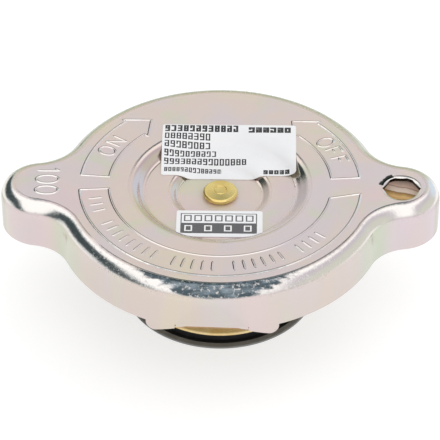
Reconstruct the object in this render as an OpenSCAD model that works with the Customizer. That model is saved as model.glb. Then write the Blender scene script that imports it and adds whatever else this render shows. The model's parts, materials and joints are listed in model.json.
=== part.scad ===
// Two-eared radiator cap: a pressed cover on a bayonet, with a pressure valve and a vacuum valve.
// Millimetres, +Z up. The origin lies on the cap's axis, in the plane of the pressure seal's underside.

/* [Cover] */
// Length over both ears
ear_span = 100; // [96:1:110]
// Diameter of the round part of the cover
cover_d = 75; // [73:0.5:80]
// Radius of the round end of an ear
ear_r = 9.2; // [8.4:0.2:10.6]
// Radius of the hollow curve between an ear and the round part
blend_r = 10; // [7:0.5:14]
// Thickness of the cover's sheet steel
sheet = 1; // [0.8:0.1:1.2]
// Outer radius of the cover's top edge
edge_r = 3.4; // [2.6:0.2:4]
// Depth of the skirt below the top face
skirt_h = 11.2; // [10:0.2:13]
// Height of the top face above the underside of the pressure seal
total_h = 30.4; // [29:0.2:36]

/* [Dish] */
// Radius at which the top face turns down into the dish
dish_r = 21; // [20:0.5:23]
// Depth of the dish
dish_step = 2; // [1.6:0.1:2.4]
// Radius at which the dish floor turns down into the well
well_r = 11.9; // [10.5:0.1:12]
// Depth of the well below the dish floor
well_step = 1.2; // [1:0.1:1.6]

/* [Bayonet lugs] */
// Width over the two stops of a lug
lug_w = 29.5; // [26:0.5:36]
// Width of the folded tab between the stops
tab_w = 16.4; // [12:0.2:19]
// Drop of the stops below the skirt's edge
lug_drop = 2.2; // [1.8:0.1:3.2]
// Radius of the stops' outer corner
stop_r = 1.7; // [1:0.1:1.7]
// How far a tab reaches in from its fold
tab_reach = 3.6; // [2.6:0.1:3.8]
// Inner bend radius of a tab's fold
tab_bend = 0.6; // [0.4:0.1:1]
// Height over which the wall is pressed flat above a tab
flat_h = 6.8; // [4:0.2:7]
// Turn of the lugs from square to the ears, in degrees
lug_turn = -2; // [-6:0.5:6]

/* [Ear hole] */
// Width over the flat sides of the hole
hole_flats = 7.6; // [5:0.2:8]
// Radius of the hole's round corners
hole_round = 4.03; // [3.9:0.01:4.3]
// Distance of the hole's centre beyond the ear's own centre
hole_out = 0.4; // [0:0.1:0.5]
// Distance of the hole's centre in front of the ear's own centre
hole_front = 0.9; // [0:0.1:0.9]
// Radius at which the ear's face rounds down to the hole
roll_start = 4.7; // [4.5:0.1:4.8]
// Radius of the rounded rim
roll_r = 1.7; // [1.4:0.1:2]

/* [Rivet] */
// Diameter of the rivet's shank
rivet_d = 5; // [4:0.2:6]
// Diameter of the rivet's heads
rivet_head_d = 8; // [7.4:0.2:9]
// Height of the upper head
rivet_head_h = 1.5; // [1.2:0.1:2]
// Height of the lower head
rivet_foot_h = 1.5; // [1:0.1:2]
// Rise of the domed face of the upper head
rivet_crown = 0.2; // [0.1:0.05:0.3]
// Diameter of the fine ring on the upper head
ring_d = 2.8; // [1.6:0.1:3]
// Width of the ring's groove
ring_w = 0.4; // [0.2:0.05:0.5]
// Radial clearance of what turns on the shank
shank_gap = 0.05; // [0.02:0.01:0.1]

/* [Labels] */
// Thickness of the label paper
paper = 0.15; // [0.1:0.01:0.3]
// Thickness of the adhesive under the paper
glue = 0.03; // [0.02:0.01:0.05]
// Width of the wide label
wide_label_w = 31; // [24:0.5:34]
// Length of the wide label, in plan
wide_label_l = 16.2; // [12:0.2:18]
// Offset of the wide label's middle to the right
wide_label_x = 1.8; // [-3:0.1:3]
// Gap between the wide label and the rivet's head
label_gap = 1.4; // [0.8:0.1:2]
// Width of the small label
small_label_w = 19.4; // [15:0.2:22]
// Length of the small label, in plan
small_label_l = 9.1; // [7:0.1:9.4]
// Distance of the small label from the axis
small_label_y = 7.4; // [6.8:0.1:8]
// Corner radius of the labels
label_corner = 0.6; // [0.3:0.1:1.2]

/* [Spring disc and gasket] */
// Thickness of the friction washer
friction_t = 0.5; // [0.4:0.1:1]
// Diameter of the friction washer
friction_d = 16; // [12:0.5:18]
// Thickness of the spring disc
disc_t = 0.5; // [0.3:0.1:0.8]
// Diameter of the spring disc and of the gasket
disc_d = 65; // [60:0.5:65.5]
// Diameter of the disc's flat middle
disc_flat_d = 28; // [20:1:32]
// Free space above the disc's rim
rim_gap = 2.3; // [1.6:0.1:3]
// Thickness of the gasket
gasket_t = 2; // [1.4:0.1:3]
// Radial width of the gasket
gasket_w = 6.5; // [5:0.5:8]

/* [Bell] */
// Outer diameter of the bell
bell_d = 33; // [31:0.5:36]
// Thickness of the bell's sheet
bell_t = 0.8; // [0.6:0.1:1]
// Outer radius of the bell's upper edge
bell_edge = 2.4; // [1.6:0.1:3]
// Diameter of the flow windows
window_d = 5; // [3:0.2:6]
// Number of flow windows
windows = 6; // [4:1:8]
// Thickness of the washer under the bell's roof
washer_t = 1; // [0.6:0.1:1.6]
// Diameter of the washer under the bell's roof
washer_d = 12; // [10:0.5:16]

/* [Pressure valve] */
// Thickness of the valve's brass sheet
valve_t = 0.8; // [0.6:0.1:1]
// Diameter of the valve plate
plate_d = 41.4; // [38:0.2:44]
// Outer diameter of the plate's raised hat
hat_d = 25; // [24:0.2:26]
// Lift of the valve
lift = 3.5; // [2:0.1:3.8]
// Room left between plate and bell at full lift
lift_room = 0.3; // [0.2:0.1:0.8]
// Running gap between the valve and the bell
valve_gap = 0.7; // [0.4:0.1:1]
// Diameter of the opening in the collar
collar_hole_d = 13; // [11:0.5:15]
// Thickness of the pressure seal
seal_t = 2.4; // [2:0.1:3]
// Diameter of the seal's body
seal_d = 40; // [37:0.5:42]
// Diameter of the seal's lip
lip_d = 44.8; // [42:0.2:48]
// Thickness of the seal's lip
lip_t = 0.6; // [0.4:0.1:1]
// Thickness of the seal under the retainer
seal_web = 1; // [0.8:0.1:1.2]
// Width of the retainer's flange
retainer_w = 4; // [3:0.2:5]
// Thickness of the retainer's sheet
retainer_t = 0.7; // [0.5:0.1:0.8]
// Height of the retainer's sleeve
retainer_h = 3.2; // [2.4:0.1:3.6]
// Radial clearance of parts pressed together by hand
slide_gap = 0.03; // [0.02:0.01:0.06]

/* [Main spring] */
// Wire diameter of the main spring
wire_d = 2.4; // [1.8:0.1:2.6]
// Gap between the main spring and the bell's wall
spring_gap = 0.9; // [0.5:0.1:1.2]
// Turns of the main spring
turns = 4.25; // [3.75:0.25:4.5]

/* [Vacuum valve] */
// Diameter of the flow hole in the crown
port_d = 6.8; // [5.6:0.2:7.4]
// Thickness of the vacuum seal
vac_seal_t = 1.4; // [1:0.1:1.8]
// Outer diameter of the vacuum seal
vac_seal_d = 18.8; // [17:0.2:19.4]
// Inner diameter of the vacuum seal
vac_seal_bore = 8.8; // [8:0.2:10]
// Diameter of the vacuum disc
vac_disc_d = 16.4; // [14:0.2:17]
// Thickness of the vacuum disc
vac_disc_t = 0.8; // [0.6:0.1:1]
// Diameter of the stem
stem_d = 3; // [2.4:0.1:3.4]
// Length of the stem beyond its clip
stem_over = 0.6; // [0.2:0.1:1]
// Wire diameter of the vacuum spring
vac_wire_d = 0.6; // [0.4:0.05:0.7]
// Mean diameter of the vacuum spring
vac_spring_d = 8.8; // [8.2:0.1:9.6]
// Length of the vacuum spring
vac_spring_l = 6; // [5:0.2:7]
// Turns of the vacuum spring
vac_turns = 5; // [4:0.5:5]
// Diameter of the spring cap
cap_d = 11; // [10.4:0.2:12]
// Thickness of the spring cap
cap_t = 0.6; // [0.4:0.1:0.8]
// Diameter of the stem's clip
clip_d = 5.6; // [4.6:0.2:6.6]
// Thickness of the stem's clip
clip_t = 0.7; // [0.5:0.1:1]

/* [Hidden] */
$fn = 96;

// Overlap of two stretches of one pressing where they run into each other
lap = 0.8;
// Longer than any piece, for cutting shapes
far = 200;
// Run and rise of the slope in a step's middle: of the pressed sheet, and of paper laid over it
steep = [0.6, 0.8];
easy = [0.8, 0.6];
// Run and rise of the slanted inner edge of a stop
slant = [0.936, 0.352];

cover_r = cover_d / 2;
ear_x = ear_span / 2 - ear_r;
// Centre of the hollow curve at the back of the right ear, which bites a little into both round parts
bite = 0.01;
cover_reach = cover_r + blend_r - bite;
ear_reach = ear_r + blend_r - bite;
blend_x = (pow(cover_reach, 2) - pow(ear_reach, 2) + ear_x * ear_x) / (2 * ear_x);
blend_y = sqrt(pow(cover_reach, 2) - blend_x * blend_x);

// Distance of a tab's fold from the axis, so that its ends lie on the round wall
tab_y = sqrt(cover_r * cover_r - tab_w * tab_w / 4);

rivet_r = rivet_d / 2;
turn_r = rivet_r + shank_gap;

// Levels of the stack on the rivet, from the top face down
dish_z = total_h - dish_step;
well_z = dish_z - well_step;
well_under_z = well_z - sheet;
disc_top_z = well_under_z - friction_t;
bell_top_z = disc_top_z - disc_t;
bell_roof_z = bell_top_z - bell_t;
foot_z = bell_roof_z - washer_t;
rim_top_z = total_h - sheet - rim_gap;
gasket_z = rim_top_z - disc_t - gasket_t;

// Levels of the valve, from the seal's underside up
plate_top_z = seal_t + valve_t;
bell_lip_z = plate_top_z + lift + lift_room;
crown_z = bell_lip_z + bell_t;
collar_top_z = crown_z + valve_t;

bell_r = bell_d / 2;
bell_in_r = bell_r - bell_t;
hat_r = hat_d / 2;
hat_in_r = hat_r - valve_t;
collar_r = bell_in_r - valve_gap;
sleeve_r = hat_in_r - slide_gap;
spring_r = bell_in_r - spring_gap - wire_d / 2;

// Levels of the vacuum valve
vac_seat_z = crown_z - valve_t - vac_seal_t;
vac_disc_z = vac_seat_z - vac_disc_t;
vac_cap_z = crown_z + vac_spring_l;
stem_top_z = vac_cap_z + cap_t + clip_t + stem_over;

// Bent sheet around [0, 0], from one direction to another
module bend(inner, thick, from, to) {
    intersection() {
        difference() {
            circle(inner + thick);
            circle(inner);
        }
        polygon([[0, 0], far * from, far * (from + to), far * to]);
    }
}

// Radius of both bends of a step through the middle of the sheet, and the step's width in plan
function step_radius(depth, slope) = depth / (2 - 2 * slope[0]);
function step_reach(depth, slope) = 2 * step_radius(depth, slope) * slope[1];

// S-shaped step of a sheet from a face at height 0, down and inwards from radius r
module step_down(r, depth) {
    middle = step_radius(depth, steep);
    inner = middle - sheet / 2;
    translate([r, -middle - sheet / 2]) bend(inner, sheet, [0, 1], [-steep[1], steep[0]]);
    translate([r - step_reach(depth, steep), middle - sheet / 2 - depth])
        bend(inner, sheet, [0, -1], [steep[1], -steep[0]]);
}

// Round block with a rounded upper edge, hanging from height 0
module round_block(r, edge, h) {
    rotate_extrude() {
        translate([0, -h]) square([r - edge, h]);
        translate([0, -h]) square([r, h - edge]);
        translate([r - edge, -edge]) circle_right(edge);
    }
}

// Right half of a circle, which keeps a revolved profile off its axis
module circle_right(r) {
    intersection() {
        circle(r);
        translate([0, -r]) square(2 * r);
    }
}

// What a hollow curve or a hole of radius r takes away with its rounded edge, down from height 0
module hollow_block(r, edge, h) {
    rotate_extrude() {
        translate([0, -h]) square([r, h]);
        difference() {
            translate([r, -edge]) square(edge);
            translate([r + edge, -edge]) circle(edge);
        }
    }
}

// Solid of the cover's outline with its rounded upper edge, all drawn in by inset
module cover_block(inset, h) {
    edge = edge_r - inset;
    round_block(cover_r - inset, edge, h);
    for (side = [0, 1]) mirror([side, 0, 0]) {
        translate([ear_x, 0, 0]) round_block(ear_r - inset, edge, h);
        difference() {
            translate([0, 0, -h]) linear_extrude(h)
                polygon([[0, 0], [blend_x, blend_y], [ear_x, 0], [blend_x, -blend_y]]);
            for (front = [1, -1]) translate([blend_x, front * blend_y, 0])
                hollow_block(blend_r + inset, edge, h + lap);
        }
    }
}

// Top face, rounded edge and skirt in one sheet, open for the dish
module cover_skin() {
    depth = skirt_h + lug_drop + lap;
    difference() {
        cover_block(0, depth);
        translate([0, 0, -sheet]) cover_block(sheet, depth);
        translate([0, 0, -edge_r]) cylinder(r = dish_r, h = 2 * edge_r);
        skirt_trim();
        lug_places() along_tab(tab_w) tab_press();
    }
}

// What is cut off below the skirt's edge, all but the stops of the two lugs
module skirt_trim() {
    difference() {
        translate([-far / 2, -far / 2, -skirt_h - far]) cube(far);
        lug_places() stops();
    }
}

// Dish and well, pressed down in the middle of the cover
module cover_dish() {
    floor_r = dish_r - step_reach(dish_step, steep);
    well_floor_r = well_r - step_reach(well_step, steep);
    rotate_extrude() {
        translate([dish_r, -sheet]) square([lap, sheet]);
        step_down(dish_r, dish_step);
        translate([well_r, -dish_step - sheet]) square([floor_r - well_r, sheet]);
        translate([0, -dish_step]) step_down(well_r, well_step);
        translate([0, -dish_step - well_step - sheet]) square([well_floor_r, sheet]);
    }
}

module hole_place() {
    translate([ear_x + hole_out, -hole_front]) children();
}

// Eye-shaped outline: six sides, sharp at its two ends along the ear and round elsewhere
module hole_outline() {
    intersection() {
        circle(hole_flats / sqrt(3), $fn = 6);
        union() {
            circle(hole_round);
            square([far, hole_flats / 3], center = true);
        }
    }
}

// Upright section of a tab: the slanted flat of the wall, the fold and the tab itself
module tab_section() {
    outer = tab_bend + sheet;
    fold_z = -skirt_h - sheet + outer;
    translate([tab_y - outer, fold_z]) bend(tab_bend, sheet, [0, -1], [1, 0]);
    translate([tab_y - tab_reach, -skirt_h - sheet]) square([tab_reach - outer, sheet]);
    polygon([
        [tab_y - sheet, fold_z], [tab_y, fold_z],
        [cover_r, fold_z + flat_h], [cover_r - sheet, fold_z + flat_h]
    ]);
}

// What is taken from the round wall for a tab: all of it at the fold, its bulge above
module tab_press() {
    fold_z = -skirt_h + tab_bend;
    polygon([
        [tab_y - 2 * sheet, -skirt_h - far], [tab_y - 2 * sheet, fold_z], [tab_y, fold_z],
        [cover_r, fold_z + flat_h], [cover_r + lap, fold_z + flat_h], [cover_r + lap, -skirt_h - far]
    ]);
}

// Carries a section in the YZ plane along X, over a width
module along_tab(width) {
    translate([-width / 2, 0, 0]) rotate([90, 0, 90]) linear_extrude(width) children();
}

// Places a lug at the back and one at the front
module lug_places() {
    for (turn = [0, 180]) rotate([0, 0, turn + lug_turn]) children();
}

// Outline of a stop that hangs below the skirt: round at its outer corner, slanted towards the tab
module stop_outline() {
    corner = [lug_w / 2 - stop_r, stop_r - skirt_h - lug_drop];
    touch = corner - stop_r * [slant[1], slant[0]];
    start = touch + lug_drop / slant[1] * [-slant[0], slant[1]];
    translate(corner) circle(stop_r);
    polygon([
        touch, corner, corner + [stop_r, 0],
        [lug_w / 2, stop_r - skirt_h], [start[0], stop_r - skirt_h], start
    ]);
}

// Both stops of a lug, as blocks that run out through the wall
module stops() {
    for (side = [0, 1]) mirror([side, 0, 0])
        rotate([90, 0, 180]) linear_extrude(far / 2) mirror([1, 0]) stop_outline();
}

// A folded tab, ending inside the round wall and the stops
module tab() {
    intersection() {
        along_tab(tab_w + lap) tab_section();
        translate([0, 0, -far]) cylinder(r = cover_r - sheet / 2, h = 2 * far);
    }
}

module cover_shell() {
    color("#d8cdc6") translate([0, 0, total_h]) difference() {
        union() {
            cover_skin();
            cover_dish();
            lug_places() tab();
        }
        translate([0, 0, -far]) cylinder(r = turn_r, h = 2 * far);
        hole_place() {
            translate([0, 0, -skirt_h]) linear_extrude(far) hole_outline();
            hollow_block(roll_start - roll_r, roll_r, skirt_h);
        }
    }
}

// Upper head: a button with a fully round edge, a slightly domed face and a fine ring on it
module rivet_head() {
    edge = (rivet_head_h - rivet_crown) / 2;
    face_r = rivet_head_d / 2 - edge;
    dome_r = (face_r * face_r + rivet_crown * rivet_crown) / (2 * rivet_crown);
    difference() {
        union() {
            square([face_r, 2 * edge]);
            translate([face_r, edge]) circle_right(edge);
            intersection() {
                square([face_r, rivet_head_h]);
                translate([0, rivet_head_h - dome_r]) circle(dome_r);
            }
        }
        translate([ring_d / 2, rivet_head_h]) circle(ring_w / 2);
    }
}

// Lower head, upset to a low dome
module rivet_foot() {
    foot_r = rivet_head_d / 2;
    dome_r = (foot_r * foot_r + rivet_foot_h * rivet_foot_h) / (2 * rivet_foot_h);
    intersection() {
        translate([0, -rivet_foot_h]) square([foot_r, rivet_foot_h]);
        translate([0, dome_r - rivet_foot_h]) circle(dome_r);
    }
}

module centre_rivet() {
    color("#d9a93f") rotate_extrude() {
        translate([0, well_z]) rivet_head();
        translate([0, foot_z]) square([rivet_r, well_z - foot_z]);
        translate([0, foot_z]) rivet_foot();
    }
}

// A skin of paper on the top face, over the dish's wall and on the dish floor in to a radius
module paper_skin(slope, inner) {
    floor_r = dish_r - step_reach(dish_step, slope);
    translate([dish_r, glue]) square([cover_r - edge_r - dish_r, paper]);
    paper_step(dish_r, dish_step, slope);
    translate([inner, glue - dish_step]) square([floor_r - inner, paper]);
}

// The paper's own step, as the upper skin of a sheet that steps down in that slope
module paper_step(r, depth, slope) {
    middle = step_radius(depth, slope);
    upper = middle + sheet / 2 + glue;
    lower = middle - sheet / 2 - glue - paper;
    translate([r, -middle - sheet / 2]) bend(upper, paper, [0, 1], [-slope[1], slope[0]]);
    translate([r - step_reach(depth, slope), middle - sheet / 2 - depth])
        bend(lower, paper, [0, -1], [slope[1], -slope[0]]);
}

// Rectangle with round corners, from the middle of its lower side
module label_outline(width, length) {
    r = label_corner;
    translate([-width / 2, r]) square([width, length - 2 * r]);
    translate([r - width / 2, 0]) square([width - 2 * r, length]);
    for (x = [r - width / 2, width / 2 - r], y = [r, length - r]) translate([x, y]) circle(r);
}

// Follows the dish and the well in easy bends
module wide_label() {
    head_r = rivet_head_d / 2;
    well_in_r = well_r - step_reach(well_step, easy);
    color("white") intersection() {
        translate([0, 0, total_h]) rotate_extrude() {
            paper_skin(easy, well_r);
            translate([0, -dish_step]) paper_step(well_r, well_step, easy);
            translate([head_r, glue - dish_step - well_step]) square([well_in_r - head_r, paper]);
        }
        translate([wide_label_x, head_r + label_gap, 0])
            linear_extrude(far) label_outline(wide_label_w, wide_label_l);
    }
}

// Lies on the dish floor and bridges the well
module small_label() {
    color("white") intersection() {
        translate([0, 0, total_h]) rotate_extrude() paper_skin(steep, 0);
        translate([0, -small_label_y - small_label_l, 0])
            linear_extrude(far) label_outline(small_label_w, small_label_l);
    }
}

// A flat washer that stands on height z
module washer(z, outer, bore, thick) {
    translate([0, 0, z]) rotate_extrude() translate([bore, 0]) square([outer - bore, thick]);
}

module friction_washer() {
    color("#b9bcc0") washer(disc_top_z, friction_d / 2, turn_r, friction_t);
}

module spring_disc() {
    flat_r = disc_flat_d / 2;
    rim_r = disc_d / 2;
    seat_r = rim_r - gasket_w - disc_t;
    rim_z = rim_top_z - disc_t;
    color("#c9a24a") rotate_extrude() polygon([
        [turn_r, bell_top_z], [flat_r, bell_top_z], [seat_r, rim_z], [rim_r, rim_z],
        [rim_r, rim_top_z], [seat_r, rim_top_z], [flat_r, disc_top_z], [turn_r, disc_top_z]
    ]);
}

module neck_gasket() {
    color("#1d1d1f") washer(gasket_z, disc_d / 2, disc_d / 2 - gasket_w, gasket_t);
}

// Section of the bell: roof, drawn wall and inturned lip
module bell_section() {
    corner = bell_edge;
    lip_r = hat_r + valve_gap;
    translate([bell_r - corner, bell_top_z - corner]) bend(corner - bell_t, bell_t, [1, 0], [0, 1]);
    translate([turn_r, bell_roof_z]) square([bell_r - corner - turn_r, bell_t]);
    translate([bell_in_r, bell_lip_z]) square([bell_t, bell_top_z - corner - bell_lip_z]);
    translate([lip_r, bell_lip_z]) square([bell_r - lip_r, bell_t]);
}

module bell_housing() {
    window_z = (collar_top_z + bell_roof_z) / 2;
    color("#b8a468") difference() {
        rotate_extrude() bell_section();
        for (i = [0 : windows - 1])
            translate([0, 0, window_z]) rotate([0, 90, i * 360 / windows])
                cylinder(d = window_d, h = cover_r);
    }
}

module rivet_washer() {
    color("#b9bcc0") washer(foot_z, washer_d / 2, turn_r, washer_t);
}

// Height of the wire's centre after a number of turns, with closed end coils
function coil_z(t, turns, wire, from, to) =
    let (dead = 0.75, close = 1.05 * wire, sunk = 0.2 * wire,
        run = to - from - 2 * sunk,
        pitch = (run - 2 * dead * close) / (turns - 2 * dead))
    from + sunk + (t < dead ? t * close
        : t > turns - dead ? run - (turns - t) * close
        : dead * close + (t - dead) * pitch);

// A coil spring with ground ends, standing between two heights
module coil_spring(radius, wire, turns, from, to, sides, steps) {
    rings = round(turns * steps);
    points = [for (i = [0 : rings]) let (t = i / steps, a = 360 * t)
        for (k = [0 : sides - 1])
            let (b = 360 * k / sides, r = radius + wire / 2 * cos(b),
                z = coil_z(t, turns, wire, from, to) + wire / 2 * sin(b))
            [r * cos(a), r * sin(a), min(to, max(from, z))]];
    walls = [for (i = [0 : rings - 1], k = [0 : sides - 1])
        let (a = i * sides + k, b = i * sides + (k + 1) % sides)
        each [[a, a + sides, b + sides], [a, b + sides, b]]];
    start = [for (k = [0 : sides - 1]) k];
    end = [for (k = [0 : sides - 1]) rings * sides + sides - 1 - k];
    polyhedron(points, concat(walls, [start, end]), convexity = 10);
}

module pressure_spring() {
    color("#9a9da1")
        coil_spring(spring_r, wire_d, turns, collar_top_z, bell_roof_z, sides = 12, steps = 28);
}

// Brass hat: a flat plate with a raised crown
module valve_plate() {
    color("#d1a552") rotate_extrude() {
        translate([hat_in_r, seal_t]) square([plate_d / 2 - valve_t / 2 - hat_in_r, valve_t]);
        translate([plate_d / 2 - valve_t / 2, seal_t + valve_t / 2]) circle(valve_t / 2);
        translate([hat_in_r, seal_t]) square([valve_t, crown_z - seal_t]);
        translate([port_d / 2, crown_z - valve_t]) square([hat_r - port_d / 2, valve_t]);
    }
}

module valve_collar() {
    color("#c49a4a") washer(crown_z, collar_r, collar_hole_d / 2, valve_t);
}

// Rubber ring, thin under the retainer, with a lip all round
module pressure_seal() {
    inner = hat_in_r;
    step = sleeve_r + retainer_w + slide_gap;
    color("#1b1b1c") rotate_extrude() {
        translate([inner, seal_t - seal_web]) square([seal_d / 2 - inner, seal_web]);
        translate([step, 0]) square([seal_d / 2 - step, seal_t]);
        translate([step, 0]) square([lip_d / 2 - lip_t / 2 - step, lip_t]);
        translate([lip_d / 2 - lip_t / 2, lip_t / 2]) circle(lip_t / 2);
    }
}

module seal_retainer() {
    flange_z = seal_t - seal_web - retainer_t;
    inner = sleeve_r - retainer_t;
    color("#d1a552") rotate_extrude() {
        translate([inner, flange_z]) square([retainer_w + retainer_t, retainer_t]);
        translate([inner, flange_z]) square([retainer_t, retainer_h]);
    }
}

module vacuum_seal() {
    color("#1b1b1c") washer(vac_seat_z, vac_seal_d / 2, vac_seal_bore / 2, vac_seal_t);
}

module vacuum_spring() {
    color("#a7abb0")
        coil_spring(vac_spring_d / 2, vac_wire_d, vac_turns, crown_z, vac_cap_z, sides = 8, steps = 20);
}

module vacuum_disc() {
    color("#d9b25c") {
        translate([0, 0, vac_disc_z]) cylinder(d = vac_disc_d, h = vac_disc_t);
        translate([0, 0, vac_disc_z]) cylinder(d = stem_d, h = stem_top_z - vac_disc_z);
    }
}

module spring_cap() {
    color("#b9bcc0") washer(vac_cap_z, cap_d / 2, stem_d / 2 + slide_gap, cap_t);
}

module stem_clip() {
    color("#8f9297") washer(vac_cap_z + cap_t, clip_d / 2, stem_d / 2 + slide_gap, clip_t);
}

cover_shell();
centre_rivet();
wide_label();
small_label();
friction_washer();
spring_disc();
neck_gasket();
bell_housing();
rivet_washer();
pressure_spring();
valve_plate();
valve_collar();
pressure_seal();
seal_retainer();
vacuum_seal();
vacuum_spring();
vacuum_disc();
spring_cap();
stem_clip();
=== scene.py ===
# Looks of a two-eared radiator cap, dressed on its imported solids: metres, +Z up, ears along X
import json
import math
from types import SimpleNamespace

import bpy
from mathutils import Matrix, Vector


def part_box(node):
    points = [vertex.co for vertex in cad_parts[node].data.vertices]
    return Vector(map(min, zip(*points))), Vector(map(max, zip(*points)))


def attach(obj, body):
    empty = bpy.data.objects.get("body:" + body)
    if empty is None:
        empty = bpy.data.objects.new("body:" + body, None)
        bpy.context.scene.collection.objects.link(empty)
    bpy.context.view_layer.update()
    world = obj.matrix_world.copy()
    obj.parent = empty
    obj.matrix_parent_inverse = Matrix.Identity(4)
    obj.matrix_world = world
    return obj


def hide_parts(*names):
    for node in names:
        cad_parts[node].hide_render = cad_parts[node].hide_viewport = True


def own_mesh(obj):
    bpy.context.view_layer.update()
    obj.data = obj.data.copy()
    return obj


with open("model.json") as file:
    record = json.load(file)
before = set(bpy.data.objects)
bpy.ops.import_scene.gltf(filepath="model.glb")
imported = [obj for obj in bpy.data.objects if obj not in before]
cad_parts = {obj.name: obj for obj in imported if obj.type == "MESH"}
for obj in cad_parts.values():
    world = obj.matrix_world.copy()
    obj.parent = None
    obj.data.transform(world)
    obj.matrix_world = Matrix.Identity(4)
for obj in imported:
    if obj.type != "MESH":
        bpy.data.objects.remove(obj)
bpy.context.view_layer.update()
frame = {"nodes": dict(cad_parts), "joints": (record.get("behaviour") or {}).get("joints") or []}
nodes = frame["nodes"]
scene = bpy.context.scene
mm = 0.001
print("frame loaded with", len(nodes), "nodes")


def tone(code):  # a screen colour such as "#d6c8c6" as linear light
    parts = [int(code[i:i + 2], 16) / 255 for i in (1, 3, 5)]
    return tuple(((c + 0.055) / 1.055) ** 2.4 if c > 0.04045 else c / 12.92 for c in parts) + (1.0,)


class Sock:  # a socket of a node tree that takes part in Python sums
    def __init__(self, tree, socket=None):
        self.tree = tree
        self.socket = socket

    def add(self, kind, settings=None, values=None, out=0):  # any node: settings first, then its sockets
        node = self.tree.nodes.new(kind)
        for name, setting in (settings or {}).items():
            if name == "stops":
                ramp = node.color_ramp.elements
                while len(ramp) < len(setting):
                    ramp.new(1)
                for stop, (place, colour) in zip(ramp, setting):
                    stop.position, stop.color = place, colour
            else:
                setattr(node, name, setting)
        for name, value in (values or {}).items():
            if isinstance(value, Sock):
                self.tree.links.new(value.socket, node.inputs[name])
            else:
                node.inputs[name].default_value = value
        return Sock(self.tree, node.outputs[out] if node.outputs else None)

    def sum(self, operation, *terms):
        return self.add("ShaderNodeMath", {"operation": operation}, dict(enumerate(terms)))

    def __add__(self, other):
        return self.sum("ADD", self, other)

    def __sub__(self, other):
        return self.sum("SUBTRACT", self, other)

    def __rsub__(self, other):
        return self.sum("SUBTRACT", other, self)

    def __mul__(self, other):
        return self.sum("MULTIPLY", self, other)

    def __truediv__(self, other):
        return self.sum("DIVIDE", self, other)

    def __rtruediv__(self, other):
        return self.sum("DIVIDE", other, self)

    __radd__ = __add__
    __rmul__ = __mul__

    def least(self, other):
        return self.sum("MINIMUM", self, other)

    def most(self, other):
        return self.sum("MAXIMUM", self, other)

    def over(self, limit):
        return self.sum("GREATER_THAN", self, limit)

    def under(self, limit):
        return self.sum("LESS_THAN", self, limit)

    def between(self, low, high):
        return self.over(low) * self.under(high)

    def size(self):
        return self.sum("ABSOLUTE", self)

    def ease(self, low, high):  # 0 below low, 1 above high, smooth in between
        smooth = {"interpolation_type": "SMOOTHSTEP"}
        return self.add("ShaderNodeMapRange", smooth, {0: self, 1: low, 2: high})

    def mix(self, first, second):  # colour: first where this is 0, second where it is 1
        return self.add("ShaderNodeMix", {"data_type": "RGBA"}, {0: self, 6: first, 7: second}, 2)

    def cloud(self, size, detail=2.0, rough=0.5, twist=0.0):  # soft noise, its blobs about size metres
        return self.add("ShaderNodeTexNoise", {"noise_dimensions": "3D"}, {
            "Vector": self, "Scale": 1 / size, "Detail": detail, "Roughness": rough, "Distortion": twist})

    def axes(self):
        return [self.add("ShaderNodeSeparateXYZ", None, {0: self}, i) for i in range(3)]

    def moved(self, place):
        return self.add("ShaderNodeMapping", None, {"Vector": self, "Location": place})

    def scaled(self, factors):
        return self.add("ShaderNodeMapping", None, {"Vector": self, "Scale": factors})


def newFinish(name):
    finish = bpy.data.materials.new(name)
    finish.use_nodes = True
    finish.node_tree.nodes.clear()
    kit = Sock(finish.node_tree)
    return finish, kit, kit.add("ShaderNodeTexCoord", out="Object")


def closeFinish(kit, **sockets):  # the principled shader and the material's output
    named = {key.replace("_", " "): value for key, value in sockets.items()}
    kit.add("ShaderNodeOutputMaterial", None, {"Surface": kit.add("ShaderNodeBsdfPrincipled", None, named)})


def grain(kit, height, depth, strength):  # a height field as a bumped normal, depth in metres at height 1
    return kit.add("ShaderNodeBump", None, {"Strength": strength, "Distance": depth, "Height": height})


# zinc plate; in these looks "Up" limits are for the surface normal's share along Z
# and "Out" limits for its share along Y
zincLook = {
    "rough": 0.13, "scuffRough": 0.1, "sideRough": 0.05, "rimRough": 0.05, "bump": 0.6,
    "grainSize": 0.5 * mm, "grainDepth": 0.01 * mm,
    "scuffSize": 1.4 * mm, "scuffDepth": 0.045 * mm, "flatScuff": 0.2,
    "wallFrom": 30 * mm, "sideUp": (0.2, 0.95), "rimUp": (0.2, 0.993),
}


def zincSpot(kit, place):  # where a point of the pressing lies, which way it faces and what it is part of
    look = zincLook
    spot = SimpleNamespace(kit=kit, place=place)
    spot.x, spot.y, spot.z = place.axes()
    spot.outX, spot.outY, spot.up = kit.add("ShaderNodeTexCoord", out="Normal").axes()
    spot.reach = spot.x.size()
    spot.upright = spot.up.size()
    spot.fromAxis = spot.x * spot.x + spot.y * spot.y  # squared
    spot.outer = spot.fromAxis.over(look["wallFrom"] ** 2)
    spot.side = 1 - spot.upright.ease(*look["sideUp"])  # 1 on the skirt, 0 on the flat faces
    spot.rim = spot.upright.between(*look["rimUp"]) * spot.outer  # the rounded top edge
    return spot


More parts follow.
